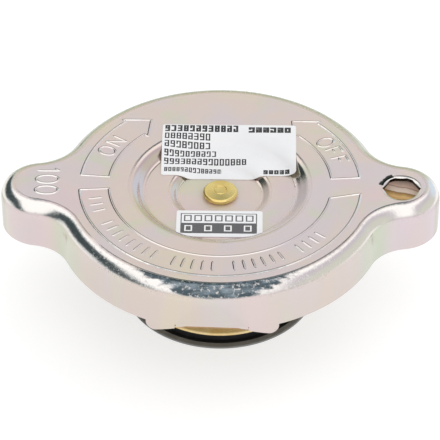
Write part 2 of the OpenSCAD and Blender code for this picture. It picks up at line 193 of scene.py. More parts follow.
# the passivation film, whose colour drifts over the faces and in tall bands down the skirt
filmLook = {
    "face": "#e1d1c9", "skirt": "#dacec5", "stretch": 0.25, "cloudSize": 15 * mm,
    "driftSize": 9 * mm, "driftPlace": (0.07, 0.03, 0.05),
    "blushSize": 12 * mm, "blushPlace": (0.02, 0.11, 0.01),
    "lilac": {"colour": "#d6cfdc", "band": (0.45, 0.7), "share": 0.5, "skirtLoss": 0.0},
    "green": {"colour": "#d2d6bd", "band": (0.52, 0.74), "share": 0.6, "skirtLoss": 0.0},
    "rose": {"colour": "#e4cccf", "band": (0.5, 0.72), "share": 0.5, "skirtLoss": 0.15},
    "straw": {"colour": "#e0d8b8", "band": (0.55, 0.75), "share": 0.6, "skirtLoss": 0.2},
    "earRose": "#e2cbd8", "earFrom": 37.5 * mm, "earTo": 41 * mm, "earShare": 0.22,
    "bendGreen": "#c2d3b6", "bendX": 34.5 * mm, "bendCore": 0.5 * mm, "bendHalf": 5 * mm,
    "bendShare": 0.55, "bendDrift": 0.7,
}


def filmColour(spot):
    look = filmLook
    tall = spot.place.scaled((1, 1, look["stretch"]))
    film = tall.cloud(look["cloudSize"], twist=0.4)
    drift = tall.moved(look["driftPlace"]).cloud(look["driftSize"], twist=0.6)
    blush = tall.moved(look["blushPlace"]).cloud(look["blushSize"], detail=1)
    colour = spot.side.mix(tone(look["face"]), tone(look["skirt"]))
    for name, cloud in (("lilac", film), ("green", drift), ("rose", blush), ("straw", 1 - film)):
        tint = look[name]
        share = tint["share"] - tint["skirtLoss"] * spot.side
        colour = (cloud.ease(*tint["band"]) * share).mix(colour, tone(tint["colour"]))
    ear = spot.side * spot.reach.ease(look["earFrom"], look["earTo"])
    colour = (ear * look["earShare"]).mix(colour, tone(look["earRose"]))
    bend = 1 - (spot.reach - look["bendX"]).size().ease(look["bendCore"], look["bendHalf"])
    share = look["bendShare"] + look["bendDrift"] * (drift - 0.5)
    return (spot.side * bend * share).mix(colour, tone(look["bendGreen"]))


# the rounded top edge: a painted highlight makes it brighter than the faces, and a painted darker reflection
# makes it grey at the back and at the tips of the ears
rimLightLook = {
    "bright": "#efeae6", "brightFromUp": (0.34, 0.5), "brightToUp": (0.96, 0.993),
    "grey": "#b7b9ab", "backOut": (0.1, 0.35),
    "tipFrom": 48.3 * mm, "tipTo": 49.5 * mm, "tipUp": 0.4, "tipShare": 0.7,
}


def paintedRimLight(spot, colour):
    look = rimLightLook
    # painted highlight by the edge's facing; painted darker reflection where it faces back and at the ear
    # tips
    bright = spot.up.ease(*look["brightFromUp"]) * (1 - spot.up.ease(*look["brightToUp"]))
    colour = (spot.rim * bright).mix(colour, tone(look["bright"]))
    colour = (spot.rim * spot.outY.ease(*look["backOut"])).mix(colour, tone(look["grey"]))
    tip = spot.reach.ease(look["tipFrom"], look["tipTo"]) * spot.up.under(look["tipUp"])
    return (tip * look["tipShare"]).mix(colour, tone(look["grey"]))


# a painted dark reflection at the front of the edge, streaked across, and the flecks in it
frontDarkLook = {
    "dark": "#4b575d", "pale": "#87929a", "paleBand": (0.4, 0.66),
    "streakSize": 1.4 * mm, "streakStretch": 0.3, "edgeUp": (0.34, 0.46), "edgeRagged": 0.3,
    "from": 7.5 * mm, "to": 12 * mm, "endRagged": 16 * mm, "lean": 14 * mm, "leanUp": 0.6,
}
fleckLook = {
    "size": 0.8 * mm, "band": (0.54, 0.66), "depth": 0.03 * mm, "plainDepth": 0.4, "darkShare": 0.6,
    "rough": 0.06, "frontRough": 0.16, "frontFrom": 18 * mm, "frontTo": 34 * mm,
}


def paintedFrontDark(spot):  # its mask and its colour
    # painted dark reflection: a streaked darker band on the front of the rounded edge
    look = frontDarkLook
    streak = spot.place.scaled((look["streakStretch"], 1, 1)).cloud(look["streakSize"], detail=3, rough=0.6)
    ragged = streak - 0.5
    edge = (spot.upright + look["edgeRagged"] * ragged).ease(*look["edgeUp"])
    along = spot.reach + look["endRagged"] * ragged - look["lean"] * (spot.up - look["leanUp"])
    mask = spot.rim * edge * spot.y.under(0.0) * (1 - along.ease(look["from"], look["to"]))
    return mask, streak.ease(*look["paleBand"]).mix(tone(look["dark"]), tone(look["pale"]))


# the raised lines alone stand over the face: a painted highlight on their near flanks, painted shade on the
# far ones
ridgeLightLook = {
    "over": 30.41 * mm, "near": "#fbf8f5", "nearOut": (0.08, 0.2), "nearShare": 0.5,
    "far": "#6b635b", "farOut": (0.03, 0.12), "farShare": 0.6,
}


def paintedRidgeLight(spot, colour):
    look = ridgeLightLook
    mark = spot.z.over(look["over"])
    # painted highlight on flanks facing the front, painted shade on flanks facing back
    near = mark * (0 - spot.outY).ease(*look["nearOut"]) * look["nearShare"]
    far = mark * spot.outY.ease(*look["farOut"]) * look["farShare"]
    return far.mix(near.mix(colour, tone(look["near"])), tone(look["far"]))


# the cover's hidden side: its underside and the inner faces of its skirt, banded by height in its own
# yellower film and painted shade, darkest at the top under the edge
insideLook = {
    "bands": ((0.0, "#b98f5a"), (0.2, "#d6b27c"), (0.38, "#8d7048"), (0.42, "#d8c6b8"), (0.6, "#cdb9ab"),
              (0.64, "#8f7a6e"), (0.68, "#bfa496"), (0.84, "#9c877c"), (1.0, "#5b534e")),
    "bandsFrom": 19.2 * mm, "bandsTo": 25.6 * mm, "bandsRagged": 0.08, "rough": 0.36,
    "earX": 40.8 * mm, "earFrom": 35.5 * mm, "inwards": -0.3 * mm, "skirtTop": 29.3 * mm, "downUp": -0.3,
}


def insideMask(spot):
    look = insideLook
    onEar = spot.reach.over(look["earFrom"])
    fromMid = spot.x - spot.x.sum("SIGN", spot.x) * look["earX"] * onEar
    inwards = (spot.outX * fromMid + spot.outY * spot.y).under(look["inwards"])
    return (inwards * spot.outer * spot.z.under(look["skirtTop"])).most(spot.up.under(look["downUp"]))


def insideFilmAndShade(spot, ragged):
    look = insideLook
    low, high = look["bandsFrom"], look["bandsTo"]
    # bands of film tone and painted shade, by height
    level = (spot.z - low) / (high - low) + look["bandsRagged"] * ragged
    stops = [(at, tone(code)) for at, code in look["bands"]]
    return spot.kit.add("ShaderNodeValToRGB", {"stops": stops}, {0: level})


# the hole in the ear: painted shade in its throat, and a painted dark reflection at one side of its rim
holeDarkLook = {
    "x": 41.2 * mm, "y": -0.9 * mm,
    "throat": "#2c2825", "throatLow": 26.2 * mm, "throatReach": 5.6 * mm, "throatUp": 0.45,
    "darkReflection": "#1b2420", "reflectFrom": 4.3 * mm, "reflectTo": 5.15 * mm, "reflectRagged": 1.4 * mm,
    "innerSoft": 0.1 * mm, "outerSoft": 0.25 * mm, "reflectLow": 28 * mm,
    "reflectTurn": 140, "reflectHalf": 27, "endRagged": 0.05, "endSoft": 0.01,
}


def holeShadeAndReflection(spot, colour, ragged):
    look = holeDarkLook
    x, y = spot.x - look["x"], spot.y - look["y"]
    squared = x * x + y * y
    # painted shade on the hole's inner faces
    throat = squared.under(look["throatReach"] ** 2) * spot.z.over(look["throatLow"])
    throat = throat * spot.up.under(look["throatUp"])
    colour = throat.mix(colour, tone(look["throat"]))
    reach = squared.sum("SQRT", squared)
    # painted dark reflection, a ragged arc at one side of the rim
    ring = reach.ease(look["reflectFrom"] - look["innerSoft"], look["reflectFrom"]) * (
        1 - (reach + look["reflectRagged"] * ragged).ease(look["reflectTo"], look["reflectTo"] + look["outerSoft"]))
    turn = math.radians(look["reflectTurn"])
    along = (math.cos(turn) * x + math.sin(turn) * y) / reach
    end = math.cos(math.radians(look["reflectHalf"]))
    streak = (along + look["endRagged"] * ragged).ease(end - look["endSoft"], end + look["endSoft"])
    return (ring * streak * spot.z.over(look["reflectLow"])).mix(colour, tone(look["darkReflection"]))


# the flat faces and the dish's slopes on the right are less of a mirror than the rest
satinLook = {
    "metalLoss": 0.6, "rough": 0.25, "flatShare": 0.9, "flatUp": (0.9985, 0.9998),
    "dishReach": 22 * mm, "slopeUp": (0.93, 0.99), "front": (0.5 * mm, 5 * mm), "right": (-7 * mm, 5 * mm),
}


def satinMask(spot):
    look = satinLook
    slope = spot.fromAxis.under(look["dishReach"] ** 2) * (1 - spot.up.ease(*look["slopeUp"]))
    dish = slope * (1 - spot.y.ease(*look["front"])) * spot.x.ease(*look["right"])
    return dish.most(look["flatShare"] * spot.up.ease(*look["flatUp"]))


def makeZinc():
    finish, kit, place = newFinish("zincPlate")
    look = zincLook
    spot = zincSpot(kit, place)
    fine = place.cloud(look["grainSize"])
    scuff = place.cloud(look["scuffSize"], detail=4, rough=0.65)
    fleck = place.cloud(fleckLook["size"], detail=3, rough=0.6).ease(*fleckLook["band"])
    frontDark, frontDarkTone = paintedFrontDark(spot)
    hidden = insideMask(spot)
    satin = satinMask(spot)
    colour = paintedRimLight(spot, filmColour(spot))
    # painted dark reflection on the front edge, lighter in the flecks
    colour = (frontDark * (1 - fleckLook["darkShare"] * fleck)).mix(colour, frontDarkTone)
    colour = hidden.mix(paintedRidgeLight(spot, colour), insideFilmAndShade(spot, scuff - 0.5))
    colour = holeShadeAndReflection(spot, colour, scuff - 0.5)
    front = 1 - spot.reach.ease(fleckLook["frontFrom"], fleckLook["frontTo"])
    rough = look["rough"] + look["scuffRough"] * (scuff - 0.5) + look["sideRough"] * spot.side
    fleckRough = fleckLook["rough"] + fleckLook["frontRough"] * front
    rough = rough + spot.rim * (look["rimRough"] + fleck * fleckRough)
    rough = rough + hidden * (insideLook["rough"] - look["rough"]) + satinLook["rough"] * satin
    relief = look["grainDepth"] * fine
    relief = relief + look["scuffDepth"] * (look["flatScuff"] + (1 - look["flatScuff"]) * spot.rim) * scuff
    deep = fleckLook["plainDepth"] + (1 - fleckLook["plainDepth"]) * frontDark
    relief = relief + fleckLook["depth"] * spot.rim * deep * fleck
    closeFinish(kit, Base_Color=colour, Metallic=1 - satinLook["metalLoss"] * satin, Roughness=rough,
                Normal=grain(kit, relief, 1.0, look["bump"]))
    return finish


brassLook = {
    "light": "#f6dca4", "deep": "#ebc584", "deepBand": (0.35, 0.65), "rough": 0.3, "metal": 1.0,
    "stain": "#cfa262", "stainSize": 3 * mm, "stainPlace": (0.03, 0.01, 0.02), "stainBand": (0.58, 0.75),
    "stainShare": 0.6, "stainRough": 0.12, "grainSize": 0.25 * mm, "grainDepth": 0.01 * mm, "bump": 0.6,
}
# the valve plate's brass with paler colours: painted light on a plate that sits in shade under the cap
litPlateLook = {**brassLook, "light": "#fde6b2", "deep": "#f6d690", "stain": "#e6bd78",
             "rough": 0.5, "metal": 0.1}
rivetLook = {**brassLook, "light": "#f3dc92", "deep": "#ecd083", "stain": "#e2c078", "rough": 0.22}


def makeBrass(name, look):
    finish, kit, place = newFinish(name)
    patch = place.cloud(look["stainSize"], detail=3)
    stain = place.moved(look["stainPlace"]).cloud(look["stainSize"] * 2, detail=3).ease(*look["stainBand"])
    fine = place.cloud(look["grainSize"])
    colour = patch.ease(*look["deepBand"]).mix(tone(look["light"]), tone(look["deep"]))
    colour = (stain * look["stainShare"]).mix(colour, tone(look["stain"]))
    closeFinish(kit, Base_Color=colour, Metallic=look["metal"],
                Roughness=look["rough"] + look["stainRough"] * patch,
                Normal=grain(kit, fine, look["grainDepth"], look["bump"]))
    return finish


# black rubber with real dust; the pale grey on the seal's outer lip is a painted highlight
rubberLook = {
    "black": "#161617", "rough": 0.42, "dust": "#343435", "dustSize": 2.5 * mm, "dustBand": (0.5, 0.8),
    "dustShare": 0.6, "dustRough": 0.2, "grainSize": 0.15 * mm, "grainDepth": 0.01 * mm, "bump": 0.5,
    "lip": "#8c8c8a", "lipShare": 0.6, "lipFrom": 21 * mm, "lipTop": 0.75 * mm,
}


def makeRubber():
    finish, kit, place = newFinish("blackRubber")
    look = rubberLook
    dust = place.cloud(look["dustSize"], detail=4, rough=0.6)
    fine = place.cloud(look["grainSize"])
    x, y, z = place.axes()
    lip = (x * x + y * y).over(look["lipFrom"] ** 2) * z.under(look["lipTop"])
    colour = (dust.ease(*look["dustBand"]) * look["dustShare"]).mix(tone(look["black"]), tone(look["dust"]))
    # painted highlight on the outer lip of the seal
    colour = (lip * (look["lipShare"] + (1 - look["lipShare"]) * dust)).mix(colour, tone(look["lip"]))
    closeFinish(kit, Base_Color=colour, Roughness=look["rough"] + look["dustRough"] * dust,
                Normal=grain(kit, fine, look["grainDepth"], look["bump"]))
    return finish


yellowLook = {
    "straw": "#d8c285", "olive": "#b9a870", "oliveBand": (0.4, 0.65), "cloudSize": 8 * mm,
    "rose": "#cfae90", "rosePlace": (0.05, 0.02, 0.01), "roseBand": (0.55, 0.75), "roseShare": 0.7,
    "rough": 0.26, "grainRough": 0.1, "grainSize": 0.4 * mm, "grainDepth": 0.01 * mm, "bump": 0.5,
}


def makeYellowZinc():
    finish, kit, place = newFinish("yellowZinc")
    look = yellowLook
    film = place.cloud(look["cloudSize"], detail=3, twist=0.4)
    blush = place.moved(look["rosePlace"]).cloud(look["cloudSize"]).ease(*look["roseBand"])
    fine = place.cloud(look["grainSize"])
    colour = film.ease(*look["oliveBand"]).mix(tone(look["straw"]), tone(look["olive"]))
    colour = (blush * look["roseShare"]).mix(colour, tone(look["rose"]))
    closeFinish(kit, Base_Color=colour, Metallic=1.0, Roughness=look["rough"] + look["grainRough"] * fine,
                Normal=grain(kit, fine, look["grainDepth"], look["bump"]))
    return finish


steelLook = {
    "bright": "#cfd0d2", "dull": "#a9acb0", "dullBand": (0.35, 0.7), "rough": 0.24, "dullRough": 0.14,
    "cloudSize": 2.5 * mm, "lineSize": 0.12 * mm, "lineDepth": 0.006 * mm, "bump": 0.5,
}
wireLook = {**steelLook, "bright": "#a4a7ac", "dull": "#7d8086"}


def makeSteel(name, look):
    finish, kit, place = newFinish(name)
    patch = place.cloud(look["cloudSize"], detail=4, rough=0.6)
    lines = place.cloud(look["lineSize"])
    colour = patch.ease(*look["dullBand"]).mix(tone(look["bright"]), tone(look["dull"]))
    closeFinish(kit, Base_Color=colour, Metallic=1.0, Roughness=look["rough"] + look["dullRough"] * patch,
                Normal=grain(kit, lines, look["lineDepth"], look["bump"]))
    return finish


paperLook = {
    "white": "#f4f4f5", "shade": "#e9eaed", "shadeSize": 7 * mm, "ink": "#232326", "grey": "#58585b",
    "bleed": 0.09 * mm, "rough": 0.38, "fibreRough": 0.1, "coat": 0.25, "coatRough": 0.2,
    "fibreSize": 0.35 * mm, "fibreDepth": 0.004 * mm, "bump": 0.4,
}


def makePaper(name, inkOf):
    finish, kit, place = newFinish(name)
    look = paperLook
    fibre = place.cloud(look["fibreSize"], detail=3)
    ragged = (fibre - 0.5) * look["bleed"]
    x, y, z = place.axes()
    colour = place.cloud(look["shadeSize"]).mix(tone(look["white"]), tone(look["shade"]))
    for mask, ink in inkOf(x + ragged, y + ragged, z):
        colour = mask.mix(colour, tone(ink))
    closeFinish(kit, Base_Color=colour, Roughness=look["rough"] + look["fibreRough"] * fibre,
                Coat_Weight=look["coat"], Coat_Roughness=look["coatRough"],
                Normal=grain(kit, fibre, look["fibreDepth"], look["bump"]))
    return finish


# rows of plain signs on the wide label, in millimetres: middle, height, first x, last x, pitch, gap, stroke
wideRows = [
    (21.4, 2.3, -13.1, 4.2, 1.44, 0.3, 0.5), (21.0, 2.0, 6.3, 16.3, 1.67, 0.22, 0.62),
    (18.67, 2.05, -13.1, -2.3, 1.35, 0.3, 0.33), (15.95, 2.05, -13.1, -2.3, 1.35, 0.3, 0.33),
    (13.1, 2.05, -13.1, -0.9, 1.22, 0.28, 0.33), (10.35, 2.05, -13.1, 6.1, 1.28, 0.28, 0.33),
    (7.45, 1.5, -13.0, 0.2, 0.94, 0.22, 0.27), (6.65, 1.5, 9.8, 16.0, 1.24, 0.22, 0.45),
]
rowSlope = {"rise": 0.6, "from": 28.58 * mm}  # how far the rows shift where the paper dips, by height
signLook = {"rowSeed": 5.3, "strokeSeed": 31.7, "middleOver": 0.45, "upperOver": 0.3, "lowerOver": 0.45}


def signRow(x, v, row, seed):  # a row of upright signs, each a frame with some of its strokes left out
    middle, tall, first, last, pitch, gap, stroke = row
    look = signLook
    wide = pitch - gap
    step = (x - first * mm) / (pitch * mm)
    across = x.sum("FRACT", step) * pitch
    down = v / mm - middle
    draw = x.sum("FLOOR", step) + seed
    chance = [
        x.add("ShaderNodeTexWhiteNoise", {"noise_dimensions": "1D"}, {"W": draw + look["strokeSeed"] * i})
        for i in range(3)]
    inSign = across.under(wide) * down.between(-tall / 2, tall / 2) * x.between(first * mm, last * mm)
    leftEdge = across.under(stroke)
    strokes = across.over(wide - stroke).most(down.over(tall / 2 - stroke))
    strokes = strokes.most(down.under(stroke - tall / 2))
    strokes = strokes.most(down.between(-stroke / 2, stroke / 2) * chance[0].over(look["middleOver"]))
    strokes = strokes.most(leftEdge * down.over(0.0) * chance[1].over(look["upperOver"]))
    strokes = strokes.most(leftEdge * down.under(0.0) * chance[2].over(look["lowerOver"]))
    return inSign * strokes


def wideInk(x, y, z):
    v = y + rowSlope["rise"] * (z - rowSlope["from"])
    mask = 0.0
    for i, row in enumerate(wideRows):
        mask = mask + signRow(x, v, row, signLook["rowSeed"] * i)
    return [(mask.least(1.0), paperLook["ink"])]


# a framed field on the small label, dark below its split, with two rows of open squares, in millimetres
smallBlock = {
    "left": -8.75, "right": 8.45, "low": -15.35, "high": -8.35, "line": 0.24, "split": -11.75, "stroke": 0.32,
    "upper": {"first": -8.0, "pitch": 2.32, "wide": 1.75, "low": -11.15, "high": -9.0, "count": 7},
    "lower": {"first": -7.85, "pitch": 4.45, "wide": 1.75, "low": -14.6, "high": -12.55, "count": 4},
}


def openSquares(x, y, row):  # a row of square rings
    first, pitch, wide, low, high = (row[key] for key in ("first", "pitch", "wide", "low", "high"))
    line = smallBlock["stroke"]
    cell = x.sum("FRACT", (x - first * mm) / (pitch * mm)) * pitch
    inRow = x.between(first * mm, (first + row["count"] * pitch) * mm)
    outer = cell.under(wide) * y.between(low * mm, high * mm) * inRow
    return outer - outer * cell.between(line, wide - line) * y.between((low + line) * mm, (high - line) * mm)


def smallInk(x, y, z):
    left, right, low, high, line, split = (
        smallBlock[key] * mm for key in ("left", "right", "low", "high", "line", "split"))
    whole = x.between(left, right) * y.between(low, high)
    light = x.between(left + line, right - line) * y.between(split, high - line)
    return [(whole - whole * light, paperLook["grey"]),
            (openSquares(x, y, smallBlock["upper"]), paperLook["grey"]),
            (openSquares(x, y, smallBlock["lower"]), paperLook["white"])]


zinc = makeZinc()
brass = makeBrass("goldBrass", brassLook)
rivetGold = makeBrass("rivetGold", rivetLook)
litPlateBrass = makeBrass("litPlateBrass", litPlateLook)
rubber = makeRubber()
yellowZinc = makeYellowZinc()
steel = makeSteel("brightSteel", steelLook)
springWire = makeSteel("springWire", wireLook)
widePaper = makePaper("wideLabelPaper", wideInk)
smallPaper = makePaper("smallLabelPaper", smallInk)

nodeFinish = {
    "cover_shell": zinc, "centre_rivet": rivetGold, "wide_label": widePaper, "small_label": smallPaper,
    "friction_washer": steel, "spring_disc": yellowZinc, "neck_gasket": rubber, "bell_housing": yellowZinc,
    "rivet_washer": steel, "pressure_spring": springWire, "valve_plate": litPlateBrass, "valve_collar": brass,
    "pressure_seal": rubber, "seal_retainer": brass, "vacuum_seal": rubber, "vacuum_spring": springWire,
    "vacuum_disc": brass, "spring_cap": steel, "stem_clip": steel,
}
for name, finish in nodeFinish.items():
    for slot in nodes[name].material_slots:
        slot.material = finish
print("finishes on", len(nodeFinish), "nodes")


def newTree(name, inputs):
    tree = bpy.data.node_groups.new(name, "GeometryNodeTree")
    tree.interface.new_socket("Geometry", in_out="INPUT", socket_type="NodeSocketGeometry")
    for label, kind in inputs:
        tree.interface.new_socket(label, in_out="INPUT", socket_type="NodeSocket" + kind)
    tree.interface.new_socket("Geometry", in_out="OUTPUT", socket_type="NodeSocketGeometry")
    kit = Sock(tree)
    source = tree.nodes.new("NodeGroupInput")
    return tree, kit, {socket.name: Sock(tree, socket) for socket in source.outputs if socket.name}


def closeTree(kit, shape, material):  # smooth, real and painted, as the export needs it
    shape = kit.add("GeometryNodeSetShadeSmooth", None, {"Geometry": shape})
    shape = kit.add("GeometryNodeRealizeInstances", None, {"Geometry": shape})
    shape = kit.add("GeometryNodeSetMaterial", None, {"Geometry": shape, "Material": material})
    kit.add("NodeGroupOutput", None, {"Geometry": shape})


def grow(name, tree, values, mesh=None):  # runs a tree once and keeps the result as a plain mesh
    base = bpy.data.objects.new(name + "Base", mesh or bpy.data.meshes.new(name + "Base"))
    scene.collection.objects.link(base)
    step = base.modifiers.new("grow", "NODES")
    step.node_group = tree
    for item in tree.interface.items_tree:
        if item.in_out == "INPUT" and item.name in values:
            step[item.identifier] = values[item.name]
    evaluated = base.evaluated_get(bpy.context.evaluated_depsgraph_get())
    piece = bpy.data.objects.new(name, bpy.data.meshes.new_from_object(evaluated))
    scene.collection.objects.link(piece)
    base.modifiers.remove(step)
    bpy.data.objects.remove(base)
    return piece


coilShape = {"closedTurns": 0.75, "steps": 48, "touching": 1.05, "sunk": 0.2}
springs = {
    "pressure_spring": {"piece": "mainCoil", "body": "bell", "joint": "pressure_lift",
                        "wire": 2.4 * mm, "turns": 4.25, "sides": 20, "fixedEnd": 1},
    "vacuum_spring": {"piece": "vacuumCoil", "body": "pressure_valve", "joint": "vacuum_drop",
                      "wire": 0.6 * mm, "turns": 5.0, "sides": 14, "fixedEnd": 0},
}


def makeCoilTree():
    tree, kit, get = newTree("coilSpring", [
        ("Radius", "Float"), ("Wire", "Float"), ("Turns", "Float"), ("Low", "Float"), ("High", "Float"),
        ("Closed Turns", "Float"), ("Steps", "Int"), ("Sides", "Int"), ("Material", "Material")])
    wire, turns, closed = get["Wire"], get["Turns"], get["Closed Turns"]
    count = turns * get["Steps"]
    path = kit.add("GeometryNodeMeshLine", {"mode": "OFFSET"}, {"Count": count + 1})
    path = kit.add("GeometryNodeMeshToCurve", None, {"Mesh": path})
    turn = kit.add("GeometryNodeInputIndex") / get["Steps"]
    touching = coilShape["touching"] * wire  # rise of a turn where the coils lie on each other
    sunk = coilShape["sunk"] * wire  # height of the wire's centre over its ground end
    run = get["High"] - get["Low"] - 2 * sunk
    pitch = (run - 2 * closed * touching) / (turns - 2 * closed)
    rise = touching * turn.least(closed)
    rise = rise + pitch * (turn - closed).most(0.0).least(turns - 2 * closed)
    rise = rise + touching * (turn - turns + closed).most(0.0)
    angle = turn * (2 * math.pi)
    place = kit.add("ShaderNodeCombineXYZ", None, {
        0: get["Radius"] * angle.sum("COSINE", angle), 1: get["Radius"] * angle.sum("SINE", angle),
        2: get["Low"] + sunk + rise})
    path = kit.add("GeometryNodeSetPosition", None, {"Geometry": path, "Position": place})
    path = kit.add("GeometryNodeSetCurveNormal", {"mode": "Z_UP"}, {"Curve": path})
    ring = kit.add("GeometryNodeCurvePrimitiveCircle", None, {"Resolution": get["Sides"], "Radius": wire / 2})
    coil = kit.add("GeometryNodeCurveToMesh", None, {"Curve": path, "Profile Curve": ring, "Fill Caps": True})
    spot = kit.add("GeometryNodeInputPosition").axes()
    flat = kit.add("ShaderNodeCombineXYZ", None, {
        0: spot[0], 1: spot[1], 2: spot[2].most(get["Low"]).least(get["High"])})
    coil = kit.add("GeometryNodeSetPosition", None, {"Geometry": coil, "Position": flat})
    closeTree(kit, coil, get["Material"])
    return tree


coilTree = makeCoilTree()
jointTravel = {j["name"]: max(abs(v) for v in j["range_m"]) for j in frame["joints"] if "range_m" in j}
for node, spring in springs.items():
    low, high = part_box(node)
    coil = grow(spring["piece"], coilTree, {
        "Radius": high.x - spring["wire"] / 2, "Wire": spring["wire"], "Turns": spring["turns"],
        "Low": low.z, "High": high.z, "Closed Turns": coilShape["closedTurns"], "Steps": coilShape["steps"],
        "Sides": spring["sides"], "Material": springWire})
    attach(coil, spring["body"])
    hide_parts(node)
    length = high.z - low.z
    1 - jointTravel[spring["joint"]] / length
    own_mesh(coil)
    print(spring["piece"], "wound,", len(coil.data.polygons), "faces")


# raised lines pressed up in the top face: banner, two arrows, a plain number and a word for each turn,
# with their courses in millimetres and degrees round the axis
embossLook = {"face": 30.4 * mm, "width": 0.8 * mm, "height": 0.16 * mm, "sink": 0.02 * mm, "step": 0.22 * mm,
              "bellPoints": 11, "endRun": 0.8, "endSoft": (-0.2, 1.0)}
banner = {"inner": 25.3, "outer": 32.0, "from": 184.5, "to": 352.0, "slant": 2.6}
arrow = {"inner": 25.4, "outer": 31.9, "tail": 5.0, "neck": 45.4, "tip": 55.0,
         "headIn": 24.2, "headOut": 32.9}
tickRow = {"inner": 26.9, "outer": 30.4, "groups": (3, 8, 5, 6, 4), "step": 4.4, "gap": 5.2, "start": 191.0}
turnWords = {"ON": {"size": 4.0, "gap": 0.34, "radius": 28.7, "angle": 152},
             "OFF": {"size": 4.0, "gap": 0.3, "radius": 28.7, "angle": 26}}
rating = {"digits": "100", "size": 5.2, "gap": 0.19, "x": -39.4, "y": 0.5, "turn": -90}


def polar(radius, angle):
    return radius * math.cos(math.radians(angle)), radius * math.sin(math.radians(angle))


def arc(radius, first, last, step=1.5):
    count = max(2, round(abs(last - first) / step))
    return [polar(radius, first + (last - first) * i / count) for i in range(count + 1)]


def bannerLine():
    b = banner
    return arc(b["inner"], b["from"], b["to"] - b["slant"]) + arc(b["outer"], b["to"] + b["slant"], b["from"])


def arrowLine(mirror):
    a = arrow
    line = arc(a["outer"], a["tail"], a["neck"]) + [polar(a["headOut"], a["neck"])]
    line += [polar((a["inner"] + a["outer"]) / 2, a["tip"]), polar(a["headIn"], a["neck"])]
    line += arc(a["inner"], a["neck"], a["tail"])
    return [(-x, y) for x, y in line] if mirror else line


def tickLines():
    lines, angle = [], tickRow["start"]
    for group in tickRow["groups"]:
        for _ in range(group):
            lines.append((False, [polar(tickRow["inner"], angle), polar(tickRow["outer"], angle)]))
            angle += tickRow["step"]
        angle += tickRow["gap"]
    return lines


# strokes of plain block characters, one unit high: width, then lines, or loops by middle and half sizes
glyphs = {
    "0": (0.55, [("loop", 0.275, 0.5, 0.275, 0.5)]),
    "1": (0.3, [("line", (0.0, 0.78), (0.18, 1.0), (0.18, 0.0))]),
    "O": (0.72, [("loop", 0.36, 0.5, 0.36, 0.5)]),
    "N": (0.64, [("line", (0.0, 0.0), (0.0, 1.0), (0.64, 0.0), (0.64, 1.0))]),
    "F": (0.56, [("line", (0.56, 1.0), (0.0, 1.0), (0.0, 0.0)), ("line", (0.0, 0.54), (0.46, 0.54))]),
}
loopPoints = 28


def spell(word, size, gap):  # strokes of a word on a straight line, centred on the origin
    strokes, x = [], 0.0
    for letter in word:
        width, parts = glyphs[letter]
        for kind, *points in parts:
            if kind == "loop":
                midX, midY, halfX, halfY = points
                turns = [math.tau * i / loopPoints for i in range(loopPoints)]
                points = [(midX + halfX * math.cos(t), midY + halfY * math.sin(t)) for t in turns]
            strokes.append((kind == "loop", [((x + u) * size, v * size) for u, v in points]))
        x += width + gap
    middle = (x - gap) * size / 2
    return [(closed, [(u - middle, v - size / 2) for u, v in line]) for closed, line in strokes]


def wrap(strokes, radius, angle):  # a word bent round the axis, tops outwards, read clockwise
    return [(closed, [polar(radius + v, angle - math.degrees(u / radius)) for u, v in line])
            for closed, line in strokes]


def lay(strokes, x, y, turn):
    c, s = math.cos(math.radians(turn)), math.sin(math.radians(turn))
    return [(closed, [(x + c * u - s * v, y + s * u + c * v) for u, v in line]) for closed, line in strokes]


def makeRidgeTree():
    tree, kit, get = newTree("raisedLine", [
        ("Width", "Float"), ("Height", "Float"), ("Sink", "Float"), ("Step", "Float"), ("Bell Points", "Int"),
        ("Material", "Material")])
    line = kit.add("GeometryNodeMeshToCurve", None, {"Mesh": get["Geometry"]})
    line = kit.add("GeometryNodeResampleCurve", {"mode": "LENGTH"}, {"Curve": line, "Length": get["Step"]})
    line = kit.add("GeometryNodeSetCurveNormal", {"mode": "Z_UP"}, {"Curve": line})
    bell = kit.add("GeometryNodeMeshLine", {"mode": "OFFSET"}, {"Count": get["Bell Points"]})
    bell = kit.add("GeometryNodeMeshToCurve", None, {"Mesh": bell})
    across = kit.add("GeometryNodeInputIndex") / (get["Bell Points"] - 1) - 0.5
    swell = 0.5 + 0.5 * across.sum("COSINE", across * (2 * math.pi))
    profile = kit.add("ShaderNodeCombineXYZ", None, {  # its Y points down once it runs along the line
        0: across * get["Width"], 1: get["Sink"] - get["Height"] * swell})
    bell = kit.add("GeometryNodeSetPosition", None, {"Geometry": bell, "Position": profile})
    along = kit.add("GeometryNodeSplineParameter", out="Length")
    whole = kit.add("GeometryNodeSplineLength", out="Length")
    endRun = embossLook["endRun"] * get["Width"]  # an open line dies away over this length
    taper = (along.least(whole - along) / endRun).ease(*embossLook["endSoft"])
    taper = taper.most(kit.add("GeometryNodeInputSplineCyclic"))
    ridge = kit.add("GeometryNodeCurveToMesh", None, {"Curve": line, "Profile Curve": bell, "Scale": taper})
    closeTree(kit, ridge, get["Material"])
    return tree


def strokeMesh(name, strokes, z):  # strokes in millimetres as loose edges on the face
    points, edges = [], []
    for closed, line in strokes:
        first = len(points)
        points += [(x * mm, y * mm, z) for x, y in line]
        edges += [(first + i, first + i + 1) for i in range(len(line) - 1)]
        if closed:
            edges.append((len(points) - 1, first))
    mesh = bpy.data.meshes.new(name)
    mesh.from_pydata(points, edges, [])
    return mesh


